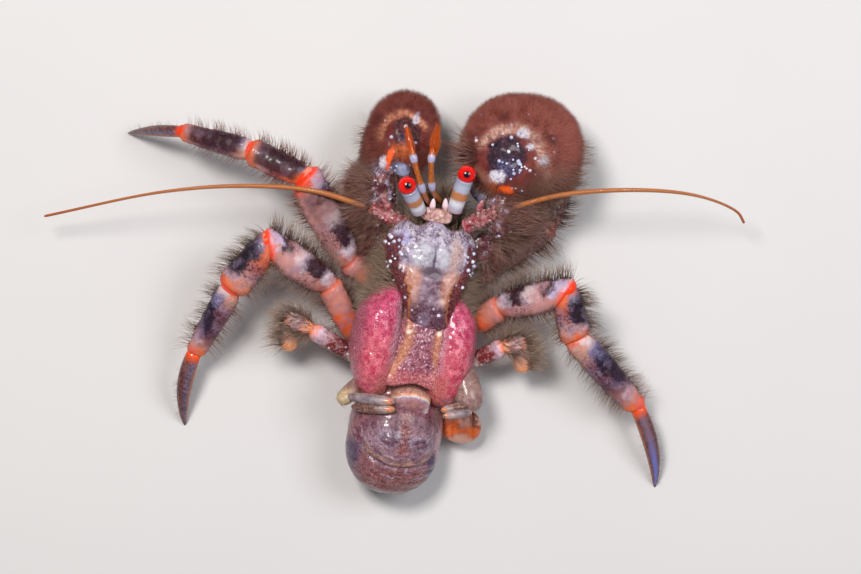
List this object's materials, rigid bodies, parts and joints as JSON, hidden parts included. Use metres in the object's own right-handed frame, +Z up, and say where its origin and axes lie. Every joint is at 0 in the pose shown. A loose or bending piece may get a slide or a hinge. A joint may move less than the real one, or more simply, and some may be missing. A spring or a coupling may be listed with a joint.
{
  "type": "hermit crab",
  "caption": "Life-size still model of a hairy right-handed hermit crab out of its shell, with red eyes, velvety claws, banded legs, long feelers and a soft rounded abdomen.",
  "frame": {"origin": "middle of the crab's box in plan, on the floor it stands on", "axes": "+X to the crab's right, +Y ahead of it past the claws, +Z up; the long feelers make X the longest extent"},
  "size_m": [0.1014, 0.0586, 0.0177],
  "materials": {
    "carapace": "hard wet shell plate, pale lavender-grey with dark maroon patches and white dots",
    "gill_cover": "thin wet gill cover, raspberry pink with fine dark speckle",
    "trunk": "underside of the trunk, dull flesh colour",
    "soft_abdomen": "soft moist skin, translucent purple-grey and maroon with pale arcs",
    "small_plates": "thin translucent plates, pinkish with orange-white rims",
    "tail_fan": "orange-red plates with pale blotches",
    "eyestalk": "smooth, pale blue-grey with an orange-brown band",
    "cornea": "wet glossy bright red with a black middle",
    "feelers": "orange-brown rings",
    "feeler_stems": "crimson-pink with white spots",
    "claw_velvet": "hard hand under a short reddish-brown velvet of bristles, with pale beads",
    "claw_arm": "hard wrist and arm under tan bristles",
    "leg_banded": "wet banded shell, lavender, near-black and orange-red, with bristles",
    "leg_toe": "tapering toe, brown to blue-violet, with rows of bristles",
    "small_legs": "small folded legs, lavender-grey with orange and white marks"
  },
  "bodies": {
    "root": {"abdomen": "soft_abdomen", "abdomen_saddle": "small_plates", "abdomen_tail": "soft_abdomen", "antenna_stem_left": "feeler_stems", "antenna_stem_right": "feeler_stems", "antenna_whip_left": "feelers", "antenna_whip_right": "feelers", "antennule_left": "feelers", "antennule_right": "feelers", "carapace_rear": "carapace", "carapace_shield": "carapace", "claw_arm_left": "claw_arm", "claw_arm_right": "claw_arm", "claw_finger_left": "claw_velvet", "claw_finger_right": "claw_velvet", "claw_hand_left": "claw_velvet", "claw_hand_right": "claw_velvet", "claw_wrist_left": "claw_arm", "claw_wrist_right": "claw_arm", "cleaner_leg_left": "small_legs", "cleaner_leg_right": "small_legs", "eye_left": "cornea", "eye_right": "cornea", "eye_ring": "small_plates", "eyestalk_left": "eyestalk", "eyestalk_right": "eyestalk", "gill_cover_left": "gill_cover", "gill_cover_right": "gill_cover", "gripper_leg_left": "small_legs", "gripper_leg_right": "small_legs", "gripper_pad_left": "small_legs", "gripper_pad_right": "small_legs", "leg_front_left_base": "leg_banded", "leg_front_left_knee": "leg_banded", "leg_front_left_shin": "leg_banded", "leg_front_left_thigh": "leg_banded", "leg_front_left_toe": "leg_toe", "leg_front_right_base": "leg_banded", "leg_front_right_knee": "leg_banded", "leg_front_right_shin": "leg_banded", "leg_front_right_thigh": "leg_banded", "leg_front_right_toe": "leg_toe", "leg_hind_left_base": "leg_banded", "leg_hind_left_knee": "leg_banded", "leg_hind_left_shin": "leg_banded", "leg_hind_left_thigh": "leg_banded", "leg_hind_left_toe": "leg_toe", "leg_hind_right_base": "leg_banded", "leg_hind_right_knee": "leg_banded", "leg_hind_right_shin": "leg_banded", "leg_hind_right_thigh": "leg_banded", "leg_hind_right_toe": "leg_toe", "mouthpart_left": "feeler_stems", "mouthpart_right": "feeler_stems", "telson": "tail_fan", "thorax": "trunk", "uropod_left": "tail_fan", "uropod_right": "tail_fan"}
  },
  "joints": []
}
